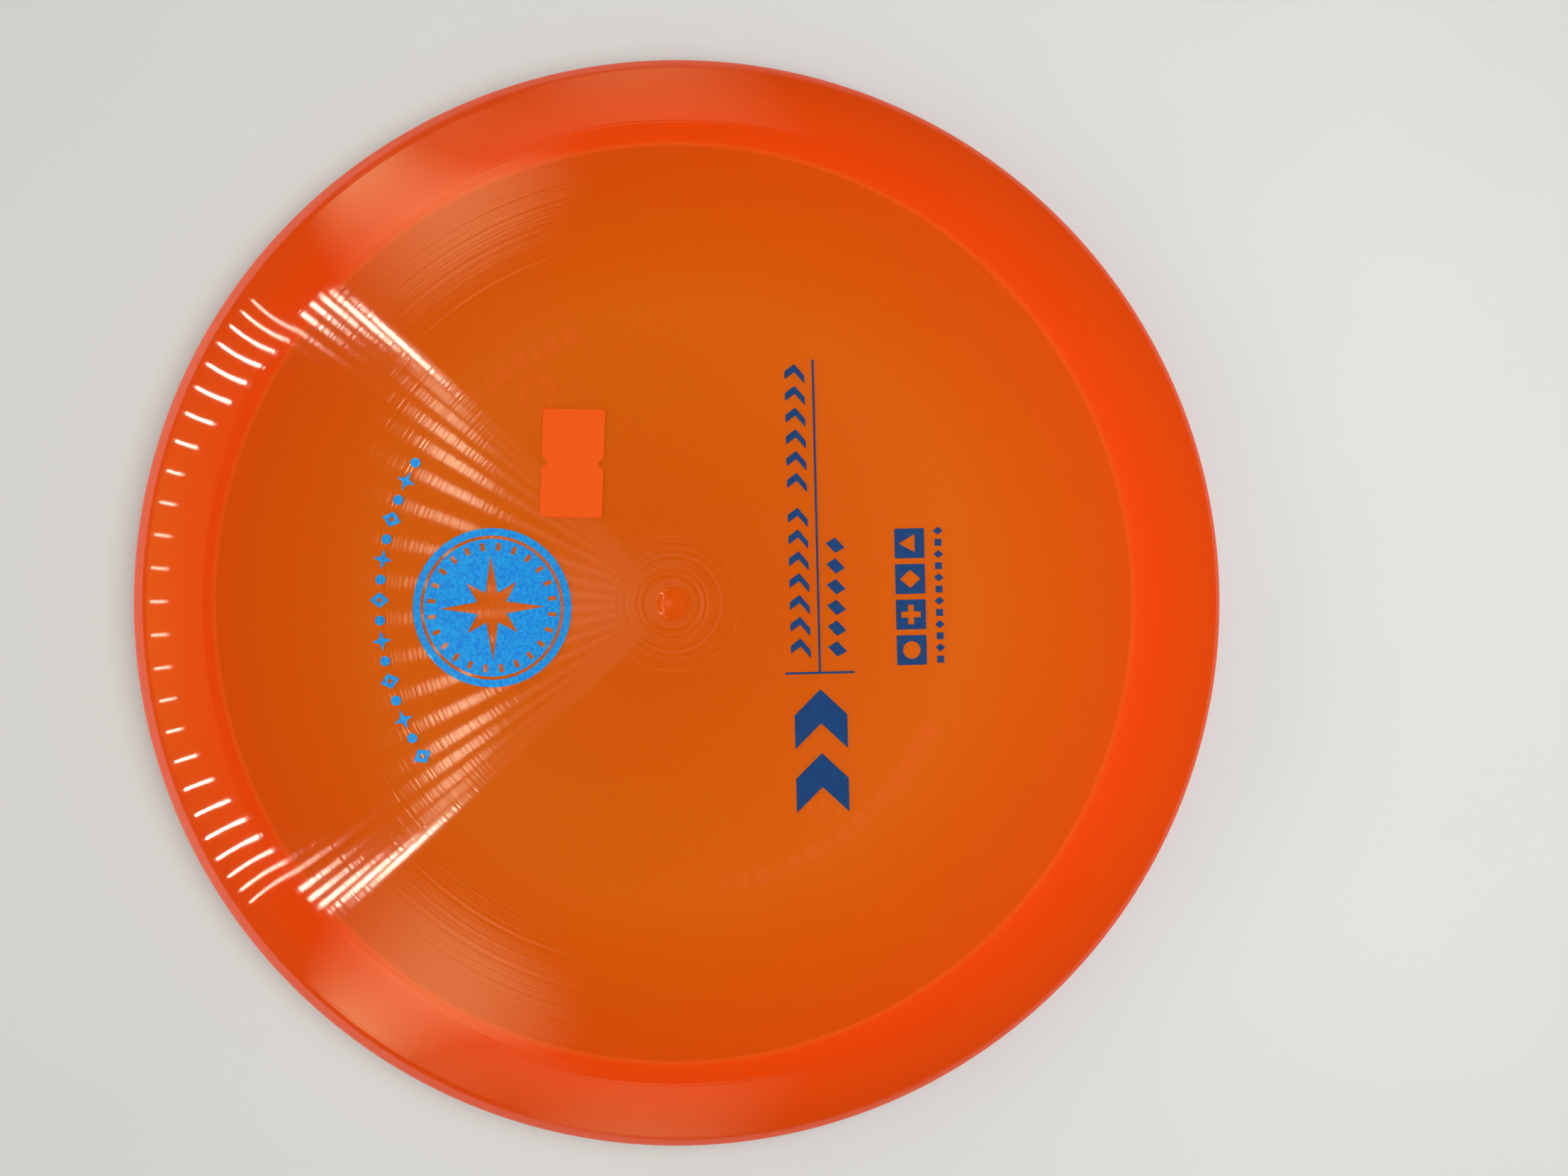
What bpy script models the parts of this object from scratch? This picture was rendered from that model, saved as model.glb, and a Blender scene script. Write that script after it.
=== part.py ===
"""A golf-style flying disc in metres, standing on its rim: one moulded body, the foil islands that are
hot-stamped on its flight plate, and an adhesive price label. +X is the way the stamp reads, +Y is the
stamp's top, and the origin is the middle of the underside."""

import math

import bmesh
import bpy
from mathutils import Matrix, Vector

MM = 0.001

# Driving dimensions of the moulded body.
DISC_RADIUS = 106 * MM
DISC_HEIGHT = 16 * MM
NUB_RADIUS = 3.1 * MM
NUB_RISE = 0.35 * MM
DOME_DROP = 2.1 * MM
SHOULDER_RADIUS = 88 * MM
PLATE_THICKNESS = 2.2 * MM
NOSE_HEIGHT = 6.4 * MM
NOSE_ROUND = 1.2 * MM
NOSE_TOP_ANGLE = math.radians(55)
NOSE_BOTTOM_ANGLE = math.radians(-66)
FOOT_OUTER_RADIUS = 91.5 * MM
FOOT_WIDTH = 2.3 * MM
FOOT_ROUND = 0.8 * MM
UNDERWING_SLOPE = math.radians(18)
RIM_DEPTH = 11 * MM
WALL_TOP_RADIUS = 87.1 * MM
WALL_ROUND = 0.9 * MM
TURN_STEPS = 96

# The stamp: films with a small gap under them, so that no two solids touch.
FOIL_THICKNESS = 0.1 * MM
LABEL_THICKNESS = 0.15 * MM
LAY_GAP = 0.1 * MM
TILE = 8 * MM
SLANT = math.tan(math.radians(14))

MEDALLION_CENTRE = (0, 34 * MM)
MEDALLION_RADIUS = 13 * MM
BORDER_INNER = 13.6 * MM
BORDER_OUTER = 15 * MM
STAR_LONG, STAR_SHORT, STAR_WAIST = 10 * MM, 6.8 * MM, 3 * MM
TICK_COUNT = 24
TICK_RADIUS = 11.5 * MM
TICK_WIDTH, TICK_LENGTH = 0.8 * MM, 1.5 * MM

ARC_RADIUS = 55.3 * MM
ARC_SPAN = math.radians(60)
ARC_MARKS = 16
LOZENGE_WIDTH, LOZENGE_HEIGHT, LOZENGE_STROKE = 3 * MM, 3.7 * MM, 0.8 * MM
DOT_RADIUS = 0.95 * MM
SPARK_LONG, SPARK_WAIST = 1.9 * MM, 0.65 * MM

RULE_WIDTH = 0.4 * MM
RULE_Y = -27.4 * MM
RULE_LEFT, RULE_RIGHT = -13.7 * MM, 45.3 * MM
CROSS_RULE_HALF = 6.5 * MM

ARROW_WIDTH, ARROW_HEIGHT, ARROW_BAND = 11.2 * MM, 9.9 * MM, 6.4 * MM
ARROW_CENTRES = (-34.4 * MM, -22.4 * MM)

UPPER_ROW_Y, UPPER_ROW_HEIGHT = -23.9 * MM, 3.7 * MM
UPPER_ROW_LEFT, UPPER_ROW_PITCH = -8.8 * MM, 4.1 * MM
UPPER_ROW_GROUPS = (7, 6)
LOWER_ROW_Y, LOWER_ROW_HEIGHT = -30.8 * MM, 3.5 * MM
LOWER_ROW_LEFT, LOWER_ROW_PITCH = -9.3 * MM, 3.9 * MM
LOWER_ROW_MARKS = 6
CHEVRON_WIDTH, CHEVRON_BAND = 3.3 * MM, 1.5 * MM
LOWER_WIDTH = 2.9 * MM

SQUARE_SIDE, SQUARE_PITCH = 5.6 * MM, 6.7 * MM
SQUARE_Y = -44.8 * MM
SQUARE_CENTRE_X = 0.2 * MM

SMALL_ROW_Y, SMALL_ROW_HEIGHT = -50.2 * MM, 1.84 * MM
SMALL_ROW_LEFT, SMALL_ROW_PITCH = -11.7 * MM, 2.2 * MM
SMALL_ROW_MARKS = 12
SMALL_SIDE = 1.3 * MM

LABEL_CENTRE = (26.8 * MM, 18.2 * MM)
LABEL_TURN = math.radians(-3.1)
LABEL_WIDTH, LABEL_HEIGHT = 20.4 * MM, 11.7 * MM
LABEL_NOTCH = 0.95 * MM
LABEL_CORNER = 0.4 * MM


def linear(hex_colour):
    """An sRGB hex value as the linear RGBA that Blender's sockets take."""
    values = [int(hex_colour[i : i + 2], 16) / 255 for i in (0, 2, 4)]
    return [v / 12.92 if v <= 0.04045 else ((v + 0.055) / 1.055) ** 2.4 for v in values] + [1]


def material(name, hex_colour, roughness, metallic=0.0):
    made = bpy.data.materials.new(name)
    made.use_nodes = True
    shader = made.node_tree.nodes["Principled BSDF"]
    shader.inputs["Base Color"].default_value = linear(hex_colour)
    shader.inputs["Roughness"].default_value = roughness
    shader.inputs["Metallic"].default_value = metallic
    made.diffuse_color = linear(hex_colour)
    return made


# The turned section of the moulded body.


def dome_height(radius):
    """Height of the flight plate's top face at this distance from the axis."""
    return DISC_HEIGHT - NUB_RISE - DOME_DROP * (radius / SHOULDER_RADIUS) ** 2


def spaced(start, end, steps):
    """Evenly spaced values after start, up to and including end."""
    return [start + (end - start) * i / steps for i in range(1, steps + 1)]


def bend(start, heading, end, steps):
    """Points after start on the circular arc that leaves start at this heading and reaches end."""
    chord = Vector(end) - Vector(start)
    half_turn = math.atan2(chord.y, chord.x) - heading
    radius = chord.length / (2 * math.sin(half_turn))
    points = []
    for turn in spaced(0, 2 * half_turn, steps):
        along = radius * (math.sin(heading + turn) - math.sin(heading))
        up = radius * (math.cos(heading) - math.cos(heading + turn))
        points.append((start[0] + along, start[1] + up))
    return points


def circle_point(centre, radius, angle):
    return (centre[0] + radius * math.cos(angle), centre[1] + radius * math.sin(angle))


def body_profile():
    """The section from the middle of the top, out round the nose, and back to the axis underneath."""
    nub = [(0, DISC_HEIGHT)]
    for part in (0.5, 0.85, 1.0):
        nub.append((NUB_RADIUS * part, dome_height(0) + NUB_RISE * (1 - part**3)))
    plate = [(r, dome_height(r)) for r in spaced(NUB_RADIUS, SHOULDER_RADIUS, 7)]

    shoulder_slope = -math.atan(2 * DOME_DROP / SHOULDER_RADIUS)
    nose_centre = (DISC_RADIUS - NOSE_ROUND, NOSE_HEIGHT)
    wing_end = circle_point(nose_centre, NOSE_ROUND, NOSE_TOP_ANGLE)
    wing = bend(plate[-1], shoulder_slope, wing_end, 6)
    nose = [
        circle_point(nose_centre, NOSE_ROUND, NOSE_TOP_ANGLE * 0.5),
        circle_point(nose_centre, NOSE_ROUND, 0),
        circle_point(nose_centre, NOSE_ROUND, NOSE_BOTTOM_ANGLE * 0.5),
        circle_point(nose_centre, NOSE_ROUND, NOSE_BOTTOM_ANGLE),
    ]

    foot = (FOOT_OUTER_RADIUS, 0)
    underwing = bend(foot, UNDERWING_SLOPE, nose[-1], 4)[:-1][::-1]
    foot_inner = FOOT_OUTER_RADIUS - FOOT_WIDTH
    corner = [
        (foot_inner, 0),
        (foot_inner - FOOT_ROUND * 0.7, FOOT_ROUND * 0.3),
        (foot_inner - FOOT_ROUND, FOOT_ROUND),
    ]

    ceiling = dome_height(WALL_TOP_RADIUS) - PLATE_THICKNESS
    wall_top = [
        (WALL_TOP_RADIUS, RIM_DEPTH - WALL_ROUND),
        (WALL_TOP_RADIUS - WALL_ROUND * 0.3, ceiling - WALL_ROUND * 0.3),
        (WALL_TOP_RADIUS - WALL_ROUND, ceiling),
    ]
    inside = [
        (r, dome_height(r) - PLATE_THICKNESS)
        for r in spaced(WALL_TOP_RADIUS - WALL_ROUND, 0, 5)
    ]
    return nub + plate + wing + nose + underwing + [foot] + corner + wall_top + inside


def turned_body(name, profile, finish, collection):
    mesh = bpy.data.meshes.new(name)
    edges = [(i, i + 1) for i in range(len(profile) - 1)]
    mesh.from_pydata([(r, 0, z) for r, z in profile], edges, [])
    body = bpy.data.objects.new(name, mesh)
    body.data.materials.append(finish)
    collection.objects.link(body)
    turn = body.modifiers.new("turn", "SCREW")
    turn.steps = turn.render_steps = TURN_STEPS
    turn.use_merge_vertices = True
    turn.merge_threshold = 1e-5
    turn.use_smooth_shade = True
    return body


# Flat outlines for the films, each around its own middle.


def ring_of(radius, count, start=0.0):
    return [circle_point((0, 0), radius, start + math.tau * i / count) for i in range(count)]


def star(*radii):
    """A star that goes through these radii in turn, once in each quarter."""
    count = 4 * len(radii)
    return [
        circle_point((0, 0), radii[i % len(radii)], math.pi / 2 + math.tau * i / count)
        for i in range(count)
    ]


def box(width, height):
    return [
        (-width / 2, -height / 2),
        (width / 2, -height / 2),
        (width / 2, height / 2),
        (-width / 2, height / 2),
    ]


def slanted(points):
    """The outline leaned over to the right, as an italic stroke is."""
    return [(x + y * SLANT, y) for x, y in points]


def lozenge(width, height):
    return [(-width / 2, 0), (0, -height / 2), (width / 2, 0), (0, height / 2)]


def arrowhead(width, height, band):
    """A chevron that points to the right."""
    left, right, tip = -width / 2, -width / 2 + band, width / 2
    return [
        (left, -height / 2),
        (right, -height / 2),
        (tip, 0),
        (right, height / 2),
        (left, height / 2),
        (tip - band, 0),
    ]


def ticks(radius, width, length, count):
    """Short bars that stand on a circle and point away from its middle."""
    bars = []
    for i in range(count):
        angle = math.tau * (i + 0.5) / count
        outwards = Vector((math.cos(angle), math.sin(angle)))
        aside = outwards.orthogonal()
        bars.append([outwards * (radius + x) + aside * y for x, y in box(length, width)])
    return bars


def plus(size, stroke):
    half, arm = size / 2, stroke / 2
    return [
        (-half, -arm), (-arm, -arm), (-arm, -half), (arm, -half), (arm, -arm), (half, -arm),
        (half, arm), (arm, arm), (arm, half), (-arm, half), (-arm, arm), (-half, arm),
    ]  # fmt: skip


def label_outline():
    """A price label: small round corners, and a half-round notch in the middle of each long edge."""
    half_width, half_height = LABEL_WIDTH / 2, LABEL_HEIGHT / 2
    lower = [(-half_width, -half_height + LABEL_CORNER), (-half_width + LABEL_CORNER, -half_height)]
    for i in range(7):
        angle = math.pi - math.pi * i / 6
        lower.append(circle_point((0, -half_height), LABEL_NOTCH, angle))
    lower += [(half_width - LABEL_CORNER, -half_height), (half_width, -half_height + LABEL_CORNER)]
    return lower + [(-x, -y) for x, y in lower]


def cut_into_tiles(flat):
    """Cuts across the film on a square grid, so that its faces are small enough to follow the dome."""
    for axis in (Vector((1, 0, 0)), Vector((0, 1, 0))):
        reach = max(abs(vert.co.dot(axis)) for vert in flat.verts)
        steps = math.floor(reach / TILE)
        for i in range(-steps, steps + 1):
            everything = flat.verts[:] + flat.edges[:] + flat.faces[:]
            bmesh.ops.bisect_plane(
                flat, geom=everything, dist=1e-6, plane_co=axis * i * TILE, plane_no=axis
            )


def film(name, outlines, centre, turn, thickness, finish, collection):
    """A thin film laid on the dome: its outer outline first, then the holes in it."""
    curve = bpy.data.curves.new(name, "CURVE")
    curve.dimensions = "2D"
    curve.fill_mode = "BOTH"
    curve.extrude = thickness / 2
    for outline in outlines:
        spline = curve.splines.new("POLY")
        spline.points.add(len(outline) - 1)
        for point, (x, y) in zip(spline.points, outline):
            point.co = (x, y, 0, 1)
        spline.use_cyclic_u = True
    guide = bpy.data.objects.new(name + "_outline", curve)
    collection.objects.link(guide)
    graph = bpy.context.evaluated_depsgraph_get()
    mesh = bpy.data.meshes.new_from_object(guide.evaluated_get(graph))
    mesh.name = name
    bpy.data.objects.remove(guide)

    middle_height = dome_height(math.hypot(*centre)) + LAY_GAP + thickness / 2
    place = Matrix.Translation((*centre, middle_height)) @ Matrix.Rotation(turn, 4, "Z")
    flat = bmesh.new()
    flat.from_mesh(mesh)
    bmesh.ops.remove_doubles(flat, verts=flat.verts, dist=1e-6)
    bmesh.ops.recalc_face_normals(flat, faces=flat.faces)
    cut_into_tiles(flat)
    for vert in flat.verts:
        spot = place @ vert.co
        vert.co.z += dome_height(spot.xy.length) - dome_height(math.hypot(*centre))
    flat.to_mesh(mesh)
    flat.free()

    mesh.materials.clear()
    mesh.materials.append(finish)
    laid = bpy.data.objects.new(name, mesh)
    laid.matrix_world = place
    collection.objects.link(laid)
    return laid


# The pieces.

for old in list(bpy.data.objects):
    bpy.data.objects.remove(old)
disc = bpy.data.collections.new("flying_disc")
bpy.context.scene.collection.children.link(disc)

orange_plastic = material("translucent_orange_plastic", "E24C08", 0.3)
blue_foil = material("bright_blue_foil", "0090E0", 0.3, 0.8)
navy_foil = material("dark_blue_foil", "0B4F8C", 0.35, 0.3)
label_paper = material("fluorescent_orange_label", "FA5A08", 0.7)

turned_body("disc_body", body_profile(), orange_plastic, disc)


def blue(name, outlines, centre, turn=0.0):
    film(name, outlines, centre, turn, FOIL_THICKNESS, blue_foil, disc)


def navy(name, outlines, centre, turn=0.0):
    film(name, outlines, centre, turn, FOIL_THICKNESS, navy_foil, disc)


film("price_label", [label_outline()], LABEL_CENTRE, LABEL_TURN, LABEL_THICKNESS, label_paper, disc)

field_outlines = [
    ring_of(MEDALLION_RADIUS, 40),
    star(STAR_LONG, STAR_WAIST, STAR_SHORT, STAR_WAIST),
    *ticks(TICK_RADIUS, TICK_WIDTH, TICK_LENGTH, TICK_COUNT),
]
blue("medallion_field", field_outlines, MEDALLION_CENTRE)
blue("medallion_border", [ring_of(BORDER_OUTER, 40), ring_of(BORDER_INNER, 40)], MEDALLION_CENTRE)

# The arc of ornaments above the medallion: plain shapes in turn, each standing on the circle.
lozenge_window = lozenge(
    LOZENGE_WIDTH - 2.4 * LOZENGE_STROKE, LOZENGE_HEIGHT - 3 * LOZENGE_STROKE
)
arc_shapes = (
    ("lozenge", [lozenge(LOZENGE_WIDTH, LOZENGE_HEIGHT), lozenge_window]),
    ("dot", [ring_of(DOT_RADIUS, 14)]),
    ("spark", [star(SPARK_LONG, SPARK_WAIST)]),
    ("dot", [ring_of(DOT_RADIUS, 14)]),
)
for i in range(ARC_MARKS):
    kind, outlines = arc_shapes[i % len(arc_shapes)]
    lean = ARC_SPAN * (0.5 - i / (ARC_MARKS - 1))
    centre = circle_point((0, 0), ARC_RADIUS, math.pi / 2 + lean)
    blue(f"arc_{kind}_{i + 1:02d}", outlines, centre, lean)

# The block under the middle: two arrowheads, a T-shaped rule, a row of chevrons and a row of lozenges.
for i, x in enumerate(ARROW_CENTRES):
    outline = arrowhead(ARROW_WIDTH, ARROW_HEIGHT, ARROW_BAND)
    navy(f"bold_arrowhead_{i + 1}", [outline], (x, RULE_Y))

half_rule = RULE_WIDTH / 2
rule_length = RULE_RIGHT - RULE_LEFT
t_rule = [
    (-half_rule, -CROSS_RULE_HALF), (half_rule, -CROSS_RULE_HALF), (half_rule, -half_rule),
    (rule_length, -half_rule), (rule_length, half_rule), (half_rule, half_rule),
    (half_rule, CROSS_RULE_HALF), (-half_rule, CROSS_RULE_HALF),
]  # fmt: skip
navy("t_rule", [t_rule], (RULE_LEFT, RULE_Y))


place_in_row = 0
for group, marks in enumerate(UPPER_ROW_GROUPS):
    for _ in range(marks):
        outline = slanted(arrowhead(CHEVRON_WIDTH, UPPER_ROW_HEIGHT, CHEVRON_BAND))
        x = UPPER_ROW_LEFT + (place_in_row + group * 0.6) * UPPER_ROW_PITCH
        place_in_row += 1
        navy(f"upper_chevron_{place_in_row:02d}", [outline], (x, UPPER_ROW_Y))

for i in range(LOWER_ROW_MARKS):
    outline = slanted(lozenge(LOWER_WIDTH, LOWER_ROW_HEIGHT))
    x = LOWER_ROW_LEFT + i * LOWER_ROW_PITCH
    navy(f"lower_lozenge_{i + 1}", [outline], (x, LOWER_ROW_Y))

# Four squares, each with a plain shape knocked out of it, and the row of small marks under them.
square_windows = (
    ("disc", ring_of(0.3 * SQUARE_SIDE, 20)),
    ("plus", plus(0.66 * SQUARE_SIDE, 0.2 * SQUARE_SIDE)),
    ("lozenge", lozenge(0.62 * SQUARE_SIDE, 0.7 * SQUARE_SIDE)),
    ("triangle", ring_of(0.36 * SQUARE_SIDE, 3, math.pi / 2)),
)
for i, (kind, window) in enumerate(square_windows):
    x = SQUARE_CENTRE_X + (i - 1.5) * SQUARE_PITCH
    navy(f"square_with_{kind}", [box(SQUARE_SIDE, SQUARE_SIDE), window], (x, SQUARE_Y))

small_shapes = (
    ("square", box(SMALL_SIDE, SMALL_SIDE)),
    ("lozenge", lozenge(SMALL_SIDE * 1.2, SMALL_ROW_HEIGHT)),
)
for i in range(SMALL_ROW_MARKS):
    kind, outline = small_shapes[i % 2]
    x = SMALL_ROW_LEFT + i * SMALL_ROW_PITCH
    navy(f"small_{kind}_{i + 1:02d}", [outline], (x, SMALL_ROW_Y))
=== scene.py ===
"""The looks of a golf-style flying disc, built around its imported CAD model."""

import math

import bmesh
import bpy
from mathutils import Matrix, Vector


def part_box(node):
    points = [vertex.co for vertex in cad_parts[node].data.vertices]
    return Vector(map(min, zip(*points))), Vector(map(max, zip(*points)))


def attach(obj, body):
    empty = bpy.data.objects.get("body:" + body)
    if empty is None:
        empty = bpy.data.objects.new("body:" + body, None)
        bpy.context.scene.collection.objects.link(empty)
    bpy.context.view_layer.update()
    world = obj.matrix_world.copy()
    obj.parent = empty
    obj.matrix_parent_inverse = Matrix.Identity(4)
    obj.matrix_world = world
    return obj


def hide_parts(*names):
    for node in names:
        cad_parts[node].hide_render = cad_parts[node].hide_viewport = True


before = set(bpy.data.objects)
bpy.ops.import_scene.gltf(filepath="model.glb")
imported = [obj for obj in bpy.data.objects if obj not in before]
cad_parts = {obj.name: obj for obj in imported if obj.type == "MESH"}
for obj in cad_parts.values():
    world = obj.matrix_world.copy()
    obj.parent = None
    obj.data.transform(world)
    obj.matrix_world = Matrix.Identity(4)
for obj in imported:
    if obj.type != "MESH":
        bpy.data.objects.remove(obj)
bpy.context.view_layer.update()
scene = bpy.context.scene
MM = 0.001


# ---- Studio ----
# A pale matt table under soft light from above, with long softboxes at the sides and a bar of small
# lamps along one side. Their light runs across the turned marks in the plastic as narrow rays.

STAMP_TURN = math.radians(-1.36)
CAMERA_PLACE = Vector((2.4 * MM, -21 * MM, 244.4 * MM))
CAMERA_LENS = 27.96
# How far the lamps stand from the disc, and the camera from the rays that it sees.
LIGHT_DISTANCE = 800 * MM
CAMERA_REACH = 262 * MM
# The air is brighter to the camera than it is as a light.
AIR_LIGHT, AIR_SEEN = 0.33, 0.8
FADE_POWER = 1.5


def linear(hex_colour, alpha=1.0):
    """An sRGB hex value as linear RGBA."""
    parts = [int(hex_colour[i : i + 2], 16) / 255 for i in (0, 2, 4)]
    parts = [p / 12.92 if p <= 0.04045 else ((p + 0.055) / 1.055) ** 2.4 for p in parts]
    return (*parts, alpha)


def add_node(tree, kind, feeds=None, **settings):
    """Adds one shader node. Feeds are its sockets' values, or the outputs that they read."""
    made = tree.nodes.new("ShaderNode" + kind)
    for name, value in settings.items():
        setattr(made, name, value)
    for socket, value in (feeds or {}).items():
        if isinstance(value, bpy.types.NodeSocket):
            tree.links.new(value, made.inputs[socket])
        else:
            made.inputs[socket].default_value = value
    return made


def bell(offset, width):
    """One at no offset, and falling away smoothly over this width."""
    return math.exp(-((offset / width) ** 2))


def new_material(name):
    """An empty material: its node tree and its one Principled shader."""
    made = bpy.data.materials.new(name)
    made.use_nodes = True
    return made, made.node_tree, made.node_tree.nodes["Principled BSDF"]


def object_from(shell, name, finish):
    """Turns a finished bmesh into an object with one material."""
    mesh = bpy.data.meshes.new(name)
    shell.to_mesh(mesh)
    shell.free()
    mesh.materials.append(finish)
    made = bpy.data.objects.new(name, mesh)
    scene.collection.objects.link(made)
    return made


camera = bpy.data.objects.new("camera", bpy.data.cameras.new("camera"))
camera.data.sensor_width = 36
camera.data.lens = CAMERA_LENS
camera.data.clip_start = 0.01
camera.location = CAMERA_PLACE
camera.rotation_euler = (0, 0, math.radians(-90) + STAMP_TURN)
scene.collection.objects.link(camera)
scene.camera = camera
scene.view_settings.view_transform = "Standard"

world = bpy.data.worlds.new("studio_air")
scene.world = world
world.use_nodes = True
air = world.node_tree.nodes["Background"]
air.inputs["Color"].default_value = linear("F2F1EE")
direct = add_node(world.node_tree, "LightPath").outputs["Is Camera Ray"]
strength = add_node(
    world.node_tree,
    "Math",
    {0: direct, 1: AIR_SEEN - AIR_LIGHT, 2: AIR_LIGHT},
    operation="MULTIPLY_ADD",
).outputs[0]
world.node_tree.links.new(strength, air.inputs["Strength"])
world.cycles_visibility.glossy = False


def light_panel(
    name,
    azimuth,
    tilts,
    spread,
    radiance,
    colour="FFFFFF",
    soft=False,
    ray=False,
    distance=LIGHT_DISTANCE,
):
    """A flat panel of light that faces the disc. Azimuth runs from the camera's left to its top,
    tilts are measured from straight above, and spread is how wide the disc sees it, all in degrees.
    A soft panel fades towards its sides. A ray panel moves aside against the camera's own offset,
    so that its reflection runs straight out from the disc's middle."""
    turn = math.radians(azimuth) - STAMP_TURN
    tilt = math.radians(sum(tilts) / 2)
    light = bpy.data.lights.new(name, "AREA")
    light.shape = "RECTANGLE"
    light.color = linear(colour)[:3]
    light.size = 2 * distance * math.tan(math.radians(spread) / 2)
    light.size_y = 2 * distance * math.tan(math.radians(tilts[1] - tilts[0]) / 2)
    light.energy = radiance * math.pi * light.size * light.size_y
    if soft:
        light.use_nodes = True
        tree = light.node_tree
        spot = add_node(tree, "NewGeometry").outputs["Parametric"]
        across = add_node(tree, "SeparateXYZ", {0: spot}).outputs["X"]
        phase = add_node(tree, "Math", {0: across, 1: math.pi}, operation="MULTIPLY").outputs[0]
        fade = add_node(tree, "Math", {0: phase}, operation="SINE").outputs[0]
        fade = add_node(tree, "Math", {0: fade, 1: FADE_POWER}, operation="POWER").outputs[0]
        tree.links.new(fade, tree.nodes["Emission"].inputs["Strength"])
    made = bpy.data.objects.new(name, light)
    flat = Vector((math.sin(turn), math.cos(turn), 0))
    towards = flat * math.sin(tilt) + Vector((0, 0, math.cos(tilt)))
    made.location = towards * distance
    made.rotation_euler = towards.to_track_quat("Z", "Y").to_euler()
    if ray:
        sideways = Vector((math.cos(turn), -math.sin(turn), 0))
        made.location -= sideways * CAMERA_PLACE.dot(sideways) * distance / CAMERA_REACH
        made.visible_diffuse = False
    made.visible_camera = False
    scene.collection.objects.link(made)
    return made


# The broad fill stands near, to the camera's right, and a low one on the left lifts that rim. Both
# only light the surfaces. Everything after them is only seen as a reflection.
for fill in (
    light_panel("top_fill", 180, (6, 46), 50, 3.6, distance=400 * MM),
    light_panel("rim_fill", 0, (62, 86), 100, 2.8),
):
    fill.visible_glossy = False

BOX_COLOUR, LAMP_COLOUR, GLINT_COLOUR = "FFF3B7", "FFF8E0", "FFEEC8"
boxes = [
    light_panel("haze", -2, (4, 17), 9, 0.6, "FFEFC0", soft=True),
    light_panel("rim_glow", 0, (40, 86), 60, 0.9, "FFCE50", soft=True),
]
# These stand in pairs: one each side of the lamps, as the camera sees it below and above them.
for side, name in ((-1, "below"), (1, "above")):
    boxes += [
        light_panel("high_box_" + name, 53 * side, (29.5, 37), 19, 2.6, BOX_COLOUR, soft=True),
        light_panel("near_box_" + name, 50 * side, (36, 84), 17, 2.7, BOX_COLOUR, soft=True),
        light_panel("middle_box_" + name, 61 * side, (36, 84), 20, 0.6, BOX_COLOUR, soft=True),
        light_panel("far_box_" + name, 82 * side, (44, 88), 34, 1.0, BOX_COLOUR, soft=True),
    ]
for box in boxes:
    box.visible_diffuse = False

# A row of narrow lamps in an arch, counted outwards from its middle. The outermost five on each
# side hang higher and closer together. Every second lamp also has a fainter glint above it, with a
# faint trail towards the middle.
LAMP_STEPS, ROW_STEPS = 17, 12
ROW_HALF_TURN, ROW_STEP = 38.8, 0.0965
OUTER_START, OUTER_STEP, OUTER_CROWDING = 38, 1.75, 0.1
LAMP_TURN, GLINT_TURN = 0.25, 0.3
ROW_SPREAD, OUTER_SPREAD, GLINT_SPREAD, TRAIL_SPREAD = 0.24, 0.3, 0.6, 0.35
GLINT_TILT, GLINT_HEIGHT, TRAIL_TILT = 19.5, 3.5, 8.5


def ray_azimuth(step):
    """Where one lamp's reflection runs: the inner ones evenly, the outer ones closer together."""
    if step > ROW_STEPS:
        beyond = step - ROW_STEPS - 1
        return OUTER_START + OUTER_STEP * beyond - OUTER_CROWDING * beyond**2
    return ROW_HALF_TURN * math.sin(ROW_STEP * step)


def lamp_tilts(step):
    """The tilts that one lamp covers. The row's lamps reach higher from its fifth one outwards."""
    if step > ROW_STEPS:
        beyond = step - ROW_STEPS - 1
        return 33.5 - 0.45 * beyond**2, 39.5 - 1.1 * beyond - 0.23 * beyond**2
    upper_end = 67 - 5.3 * max(0, min(step, 8) - 4) - 3.2 * max(0, step - 8)
    lower_end = 81 - 1.5 * max(0, step - 9)
    return upper_end, lower_end


def lamp_radiance(step):
    """The outer lamps are alike. In the row, the brightest are about eight steps out."""
    return 38 if step > ROW_STEPS else 13 + 41 * bell(step - 7.8, 3)


for i in range(-LAMP_STEPS, LAMP_STEPS + 1):
    step, side = abs(i), math.copysign(1, i)
    azimuth = side * ray_azimuth(step) + LAMP_TURN
    spread = OUTER_SPREAD if step > ROW_STEPS else ROW_SPREAD
    lamp = lamp_tilts(step), spread, lamp_radiance(step)
    light_panel(f"lamp_{i:+03d}", azimuth, *lamp, LAMP_COLOUR, ray=True)
    if step % 2:
        azimuth += 2 * side * math.sin(math.pi * step / LAMP_STEPS) ** 2 + GLINT_TURN
        start = GLINT_TILT + 0.5 * max(0, step - 8)
        glint = (start, start + GLINT_HEIGHT), GLINT_SPREAD, 4 + 10 * bell(step - 9, 4.5)
        faint = 0.95 * math.cos(math.radians(1.7 * azimuth))
        trail = (TRAIL_TILT, start), TRAIL_SPREAD, faint
        light_panel(f"glint_{i:+03d}", azimuth, *glint, GLINT_COLOUR, ray=True)
        light_panel(f"trail_{i:+03d}", azimuth, *trail, GLINT_COLOUR, ray=True)

TABLE_HALF_WIDTH = 3000 * MM
GLOW_START, GLOW_END = 200 * MM, 600 * MM
GLOW_STRENGTH = 0.5

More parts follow.
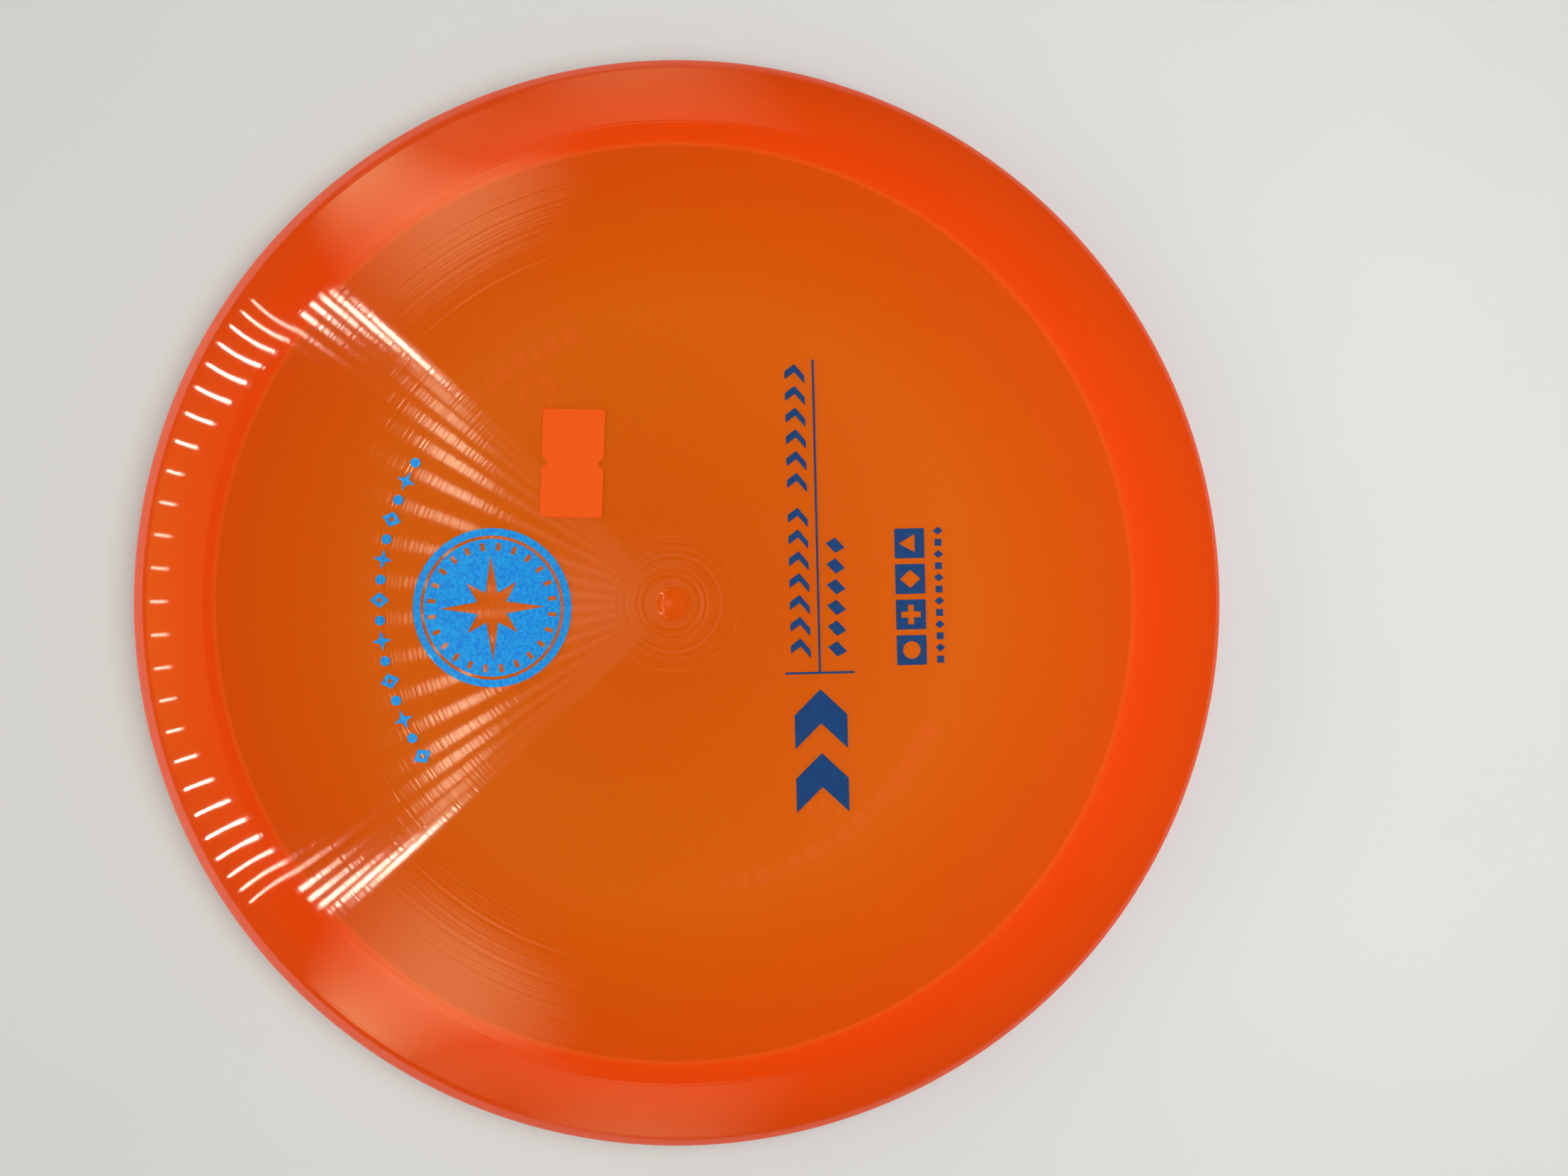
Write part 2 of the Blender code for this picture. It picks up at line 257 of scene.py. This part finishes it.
table_paint, tree, shader = new_material("matt_table_paint")
where = add_node(tree, "TexCoord").outputs["Object"]
mottle = add_node(tree, "TexNoise", {"Vector": where, "Scale": 9, "Detail": 3}).outputs["Fac"]
shade = add_node(tree, "ValToRGB", {"Fac": mottle})
shade.color_ramp.elements[0].color = linear("D9D9D6")
shade.color_ramp.elements[1].color = linear("E2E2E0")
tree.links.new(shade.outputs["Color"], shader.inputs["Base Color"])
shader.inputs["Roughness"].default_value = 0.65

# The panels only reach so far, so the table glows a little further out, where they don't light it.
reach = add_node(tree, "VectorMath", {0: where}, operation="LENGTH").outputs["Value"]
table_glow = add_node(
    tree,
    "MapRange",
    {"Value": reach, "From Min": GLOW_START, "From Max": GLOW_END, "To Max": GLOW_STRENGTH},
    interpolation_type="SMOOTHSTEP",
).outputs["Result"]
tree.links.new(table_glow, shader.inputs["Emission Strength"])
shader.inputs["Emission Color"].default_value = linear("F2F1EE")

table = bmesh.new()
bmesh.ops.create_grid(table, x_segments=1, y_segments=1, size=TABLE_HALF_WIDTH)
table = object_from(table, "table_top", table_paint)


# ---- Moulded body ----
# The disc is one injection moulding in clear-tinted orange polyurethane. The mould was turned on a
# lathe, so every face carries fine rings about the axis. The plate is thin and the rim is thick, so
# the rim's colour is fuller. Its colour also carries painted light from what shines through the
# plastic: darker over the plate, glowing in the rim. The plastic went in through the nub in the
# middle.

top_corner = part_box("disc_body")[1]
DISC_RADIUS = top_corner.x
DISC_HEIGHT = top_corner.z
NUB_RADIUS = 3.1 * MM
NUB_RISE = 0.35 * MM
NUB_SQUARENESS = 2.6
GATE_REACH = 13.5 * MM
DOME_DROP = 2.1 * MM
SHOULDER_RADIUS = 88 * MM
PLATE_THICKNESS = 2.2 * MM
NOSE_HEIGHT = 6.4 * MM
NOSE_ROUND = 1.2 * MM
NOSE_TOP, NOSE_BOTTOM = math.radians(55), math.radians(-66)
FOOT_OUTER = 91.5 * MM
FOOT_INNER = 89.2 * MM
FOOT_ROUND = 0.8 * MM
UNDERWING_SLOPE = math.radians(18)
WALL_TOP_RADIUS = 87.1 * MM
WALL_ROUND = 0.9 * MM
TURNS = 256

# Grooves round the gate, as radius, depth and half-width.
GATE_GROOVES = (
    (5.3 * MM, 0.05 * MM, 0.22 * MM),
    (6.5 * MM, 0.032 * MM, 0.18 * MM),
    (8.9 * MM, 0.014 * MM, 0.2 * MM),
    (12.3 * MM, 0.01 * MM, 0.2 * MM),
)
# Raised marks under the plate sit on a grid of rings and turn steps. An emblem is a diamond of
# cells on that grid.
EMBLEM_STEPS = 3
EMBLEM_RINGS = [(43.5 + 1.45 * i) * MM for i in range(2 * EMBLEM_STEPS)]
ARC_RINGS = [52.4 * MM, 55.4 * MM]
MARK_RHYTHM = (1, 0, 1, 1, 0, 1, 0, 1)
MARK_GROUPS = (
    {"middle": math.radians(31), "half_span": math.radians(14)},
    {"middle": math.radians(215.5), "half_span": math.radians(28)},
)
MARK_RISE, MARK_DRAFT = 0.25 * MM, 0.12 * MM


def dome_height(radius):
    """Height of the plate's top face, without the nub and the grooves."""
    return DISC_HEIGHT - NUB_RISE - DOME_DROP * (radius / SHOULDER_RADIUS) ** 2


def gate_relief(radius):
    """How far the grooves round the gate lower the top face."""
    return sum(depth * bell(radius - at, half) for at, depth, half in GATE_GROOVES)


def spaced(start, end, steps):
    """Evenly spaced values after start, up to and including end."""
    return [start + (end - start) * i / steps for i in range(1, steps + 1)]


def bend(start, heading, end, steps):
    """Points after start on the circular arc that leaves start at this heading and reaches end."""
    chord = Vector(end) - Vector(start)
    half_turn = math.atan2(chord.y, chord.x) - heading
    radius = chord.length / (2 * math.sin(half_turn))
    points = []
    for turn in spaced(0, 2 * half_turn, steps):
        along = radius * (math.sin(heading + turn) - math.sin(heading))
        up = radius * (math.cos(heading) - math.cos(heading + turn))
        points.append((start[0] + along, start[1] + up))
    return points


def on_circle(centre, radius, angle):
    return (centre[0] + radius * math.cos(angle), centre[1] + radius * math.sin(angle))


mark_rings = EMBLEM_RINGS + ARC_RINGS
plate_rings = (
    spaced(NUB_RADIUS, GATE_REACH, 48)
    + spaced(GATE_REACH, EMBLEM_RINGS[0], 12)
    + EMBLEM_RINGS[1:]
    + ARC_RINGS
    + spaced(ARC_RINGS[1], SHOULDER_RADIUS, 16)
)
profile = [(0, DISC_HEIGHT)]
for share in spaced(0, 1, 10):
    profile.append((NUB_RADIUS * share, dome_height(0) + NUB_RISE * (1 - share**NUB_SQUARENESS)))
for radius in plate_rings:
    profile.append((radius, dome_height(radius) - gate_relief(radius)))

shoulder_slope = -math.atan(2 * DOME_DROP / SHOULDER_RADIUS)
nose_centre = (DISC_RADIUS - NOSE_ROUND, NOSE_HEIGHT)
profile += bend(profile[-1], shoulder_slope, on_circle(nose_centre, NOSE_ROUND, NOSE_TOP), 24)
for angle in spaced(NOSE_TOP, NOSE_BOTTOM, 12):
    profile.append(on_circle(nose_centre, NOSE_ROUND, angle))

foot = (FOOT_OUTER, 0)
profile += bend(foot, UNDERWING_SLOPE, profile[-1], 10)[:-1][::-1]
profile += [foot, (FOOT_INNER, 0)]
for angle in spaced(math.radians(-90), math.radians(-180), 4):
    profile.append(on_circle((FOOT_INNER, FOOT_ROUND), FOOT_ROUND, angle))
ceiling = dome_height(WALL_TOP_RADIUS) - PLATE_THICKNESS
corner = (WALL_TOP_RADIUS - WALL_ROUND, ceiling - WALL_ROUND)
for angle in spaced(math.radians(-5), math.radians(90), 6):
    profile.append(on_circle(corner, WALL_ROUND, angle))
inside_rings = (
    spaced(corner[0], ARC_RINGS[1], 10)
    + [ARC_RINGS[0]]
    + EMBLEM_RINGS[::-1]
    + spaced(EMBLEM_RINGS[0], 0, 16)
)
profile += [(radius, dome_height(radius) - PLATE_THICKNESS) for radius in inside_rings]

shell = bmesh.new()
line = [shell.verts.new((radius, 0, height)) for radius, height in profile]
for start, end in zip(line, line[1:]):
    shell.edges.new((start, end))
section = shell.verts[:] + shell.edges[:]
bmesh.ops.spin(
    shell, geom=section, cent=(0, 0, 0), axis=(0, 0, 1), angle=math.tau, steps=TURNS, use_merge=True
)
bmesh.ops.remove_doubles(shell, verts=shell.verts, dist=1e-7)
bmesh.ops.recalc_face_normals(shell, faces=shell.faces)


def is_marked(face):
    """Whether this cell of the plate's ring grid belongs to a raised mark."""
    middle = face.calc_center_median()
    radius = middle.xy.length
    if not mark_rings[0] < radius < mark_rings[-1]:
        return False
    azimuth = math.atan2(middle.y, middle.x) % math.tau
    for group in MARK_GROUPS:
        aside = azimuth - group["middle"]
        column = math.floor(aside * TURNS / math.tau)
        if ARC_RINGS[0] < radius < ARC_RINGS[1]:
            if abs(aside) < group["half_span"] and MARK_RHYTHM[column % len(MARK_RHYTHM)]:
                return True
        elif radius < EMBLEM_RINGS[-1]:
            row = sum(radius > ring for ring in EMBLEM_RINGS) - EMBLEM_STEPS
            if abs(column) + abs(row) == EMBLEM_STEPS or (row == 0 and column == 0):
                return True
    return False


# The same cells on the top face carry an attribute, because the marks show through the thin plate.
seen_through = shell.faces.layers.float.new("seen_through")
raised = []
for face in shell.faces:
    if abs(face.normal.z) > 0.9 and is_marked(face):
        if face.normal.z > 0:
            face[seen_through] = 1.0
        else:
            raised.append(face)
bmesh.ops.inset_individual(shell, faces=raised, thickness=MARK_DRAFT, depth=MARK_RISE)
for face in shell.faces:
    face.smooth = True

polyurethane, tree, shader = new_material("moulded_orange_polyurethane")
place = add_node(tree, "TexCoord").outputs["Object"]
level = add_node(tree, "VectorMath", {0: place, 1: (1, 1, 0)}, operation="MULTIPLY").outputs[0]
radius = add_node(tree, "VectorMath", {0: level}, operation="LENGTH").outputs["Value"]
share = add_node(tree, "Math", {0: radius, 1: DISC_RADIUS}, operation="DIVIDE").outputs[0]

# Colour by radius. It is fuller where the plastic is thicker, at the nub and the rim, and duller
# over the thin plate. Painted light is laid on top: painted shade over the thin plate, where light
# is lost through it, a painted glow in the thick rim, and a thin painted highlight where the corner
# of the inner wall gathers the light. Radii are in millimetres.
tint_and_painted_light = add_node(tree, "ValToRGB", {"Fac": share})
stops = (
    (0.0, "E2560A"),
    (2.9, "DE540A"),
    (3.4, "D4560A"),
    (40.0, "D85F0E"),
    (56.0, "DB6110"),
    (66.0, "DB5A09"),
    (80.0, "DB5309"),
    (86.6, "DD4F0A"),
    (87.1, "EE5A18"),
    (87.6, "F0490A"),
    (92.0, "EC460A"),
    (97.0, "E94B0C"),
    (106.0, "E64A0E"),
)
ramp = tint_and_painted_light.color_ramp
ramp.elements.remove(ramp.elements[1])
ramp.elements[0].color = linear(stops[0][1])
for at, colour in stops[1:]:
    ramp.elements.new(at * MM / DISC_RADIUS).color = linear(colour)

MARK_STRENGTH = 0.3
seen = add_node(tree, "Attribute", attribute_name="seen_through").outputs["Fac"]
faint = add_node(tree, "Math", {0: seen, 1: MARK_STRENGTH}, operation="MULTIPLY").outputs[0]
with_marks = add_node(
    tree,
    "Mix",
    {"Factor": faint, 6: tint_and_painted_light.outputs["Color"], 7: linear("E8642A")},
    data_type="RGBA",
).outputs[2]
tree.links.new(with_marks, shader.inputs["Base Color"])

# The turned marks: rings of uneven depth about the axis. Real ones are about 0.25 mm apart, and
# these are drawn 0.7 mm apart so that they show.
RING_PITCH = 0.7 * MM
RING_HEIGHT = 0.014 * MM
GRAIN_PITCH = 0.45 * MM
GRAIN_SHARE = 0.025
rings = add_node(
    tree, "TexNoise", {"W": radius, "Scale": 1 / RING_PITCH, "Detail": 2}, noise_dimensions="1D"
).outputs["Fac"]
grain = add_node(tree, "TexNoise", {"Vector": place, "Scale": 1 / GRAIN_PITCH}).outputs["Fac"]
relief = add_node(
    tree, "Math", {0: grain, 1: GRAIN_SHARE, 2: rings}, operation="MULTIPLY_ADD"
).outputs[0]
bump = add_node(tree, "Bump", {"Height": relief, "Distance": RING_HEIGHT}).outputs["Normal"]
tree.links.new(bump, shader.inputs["Normal"])

outwards = add_node(tree, "VectorMath", {0: level}, operation="NORMALIZE").outputs[0]
tree.links.new(outwards, shader.inputs["Tangent"])
shader.inputs["Roughness"].default_value = 0.05
shader.inputs["Anisotropic"].default_value = 1.0
shader.inputs["IOR"].default_value = 1.5
shader.inputs["Subsurface Weight"].default_value = 0.2
shader.inputs["Subsurface Radius"].default_value = (1.0, 0.25, 0.05)
shader.inputs["Subsurface Scale"].default_value = 3 * MM

body = object_from(shell, "moulded_body", polyurethane)
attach(body, "root")
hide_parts("disc_body")


# ---- Foils ----
# The stamp is hot-pressed foil: a clear coloured lacquer over aluminium, a few micrometres thick.
# Each closed area of the die leaves its own film. All of it is the same blue foil: the medallion
# and its arc keep its bright blue, and all the other marks get a dark blue copy of it, which is
# painted shade for foil that reflects only dark surroundings.

# The CAD keeps this gap under each film, and the film comes down by nearly all of it.
LAY_GAP = 0.1 * MM
LAY_DROP = 0.9 * LAY_GAP
CORNER_ROUND = 0.12 * MM
CORNER_ANGLE = math.radians(30)
SPECKLE_PITCH = 0.6 * MM
SPECKLE_RELIEF = 0.004 * MM


def foil_finish(name, deep, bright, metallic, roughness):
    """A lacquered foil: two tones in fine speckle, which also gives it a slight grain."""
    made, tree, shader = new_material(name)
    place = add_node(tree, "TexCoord").outputs["Object"]
    speckle = add_node(
        tree, "TexNoise", {"Vector": place, "Scale": 1 / SPECKLE_PITCH, "Detail": 3}
    ).outputs["Fac"]
    tone = add_node(tree, "ValToRGB", {"Fac": speckle})
    tone.color_ramp.elements[0].position = 0.35
    tone.color_ramp.elements[0].color = linear(deep)
    tone.color_ramp.elements[1].position = 0.65
    tone.color_ramp.elements[1].color = linear(bright)
    tree.links.new(tone.outputs["Color"], shader.inputs["Base Color"])
    bump = add_node(tree, "Bump", {"Height": speckle, "Distance": SPECKLE_RELIEF})
    tree.links.new(bump.outputs["Normal"], shader.inputs["Normal"])
    shader.inputs["Metallic"].default_value = metallic
    shader.inputs["Roughness"].default_value = roughness
    return made


def laid_film(node_name, finish):
    """The film as it lies on the plate: a welded copy of its CAD solid, with soft corners."""
    film = bmesh.new()
    film.from_mesh(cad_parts[node_name].data)
    bmesh.ops.remove_doubles(film, verts=film.verts, dist=1e-6)
    bmesh.ops.translate(film, verts=film.verts, vec=(0, 0, -LAY_DROP))
    corners = [
        edge
        for edge in film.edges
        if abs((edge.verts[0].co - edge.verts[1].co).normalized().z) > 0.9
        and edge.calc_face_angle(0) > CORNER_ANGLE
    ]
    bmesh.ops.bevel(
        film,
        geom=corners,
        offset=CORNER_ROUND,
        affect="EDGES",
        segments=3,
        profile=0.5,
        material=-1,
    )
    piece = object_from(film, node_name.replace("_", "-") + "-film", finish)
    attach(piece, "root")
    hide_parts(node_name)
    return piece


bright_foil = foil_finish("bright_blue_stamping_foil", "0084F2", "10ACFF", 0.35, 0.3)
# A darker copy of the same foil, as painted shade: it stands for foil that reflects only dark
# surroundings.
shaded_foil_copy = foil_finish("blue_stamping_foil_painted_shade", "003C78", "044684", 0.3, 0.4)
for node_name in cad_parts:
    if node_name.startswith(("medallion", "arc_")):
        laid_film(node_name, bright_foil)
    elif node_name not in ("disc_body", "price_label"):
        laid_film(node_name, shaded_foil_copy)


# ---- Price label ----
# A blank label from a price gun: fluorescent orange paper, stamped out with a half-round notch in
# each long edge, and held by its own glue.

FIBRE_PITCH = 0.5 * MM
FIBRE_RELIEF = 0.02 * MM

label_paper, tree, shader = new_material("fluorescent_label_paper")
place = add_node(tree, "TexCoord").outputs["Object"]
fibres = add_node(
    tree, "TexNoise", {"Vector": place, "Scale": 1 / FIBRE_PITCH, "Detail": 4}
).outputs["Fac"]
tone = add_node(tree, "ValToRGB", {"Fac": fibres})
tone.color_ramp.elements[0].color = linear("EC5208")
tone.color_ramp.elements[1].color = linear("F65C0C")
tree.links.new(tone.outputs["Color"], shader.inputs["Base Color"])
bump = add_node(tree, "Bump", {"Height": fibres, "Distance": FIBRE_RELIEF})
tree.links.new(bump.outputs["Normal"], shader.inputs["Normal"])
shader.inputs["Roughness"].default_value = 0.75
shader.inputs["Specular IOR Level"].default_value = 0.15
laid_film("price_label", label_paper)
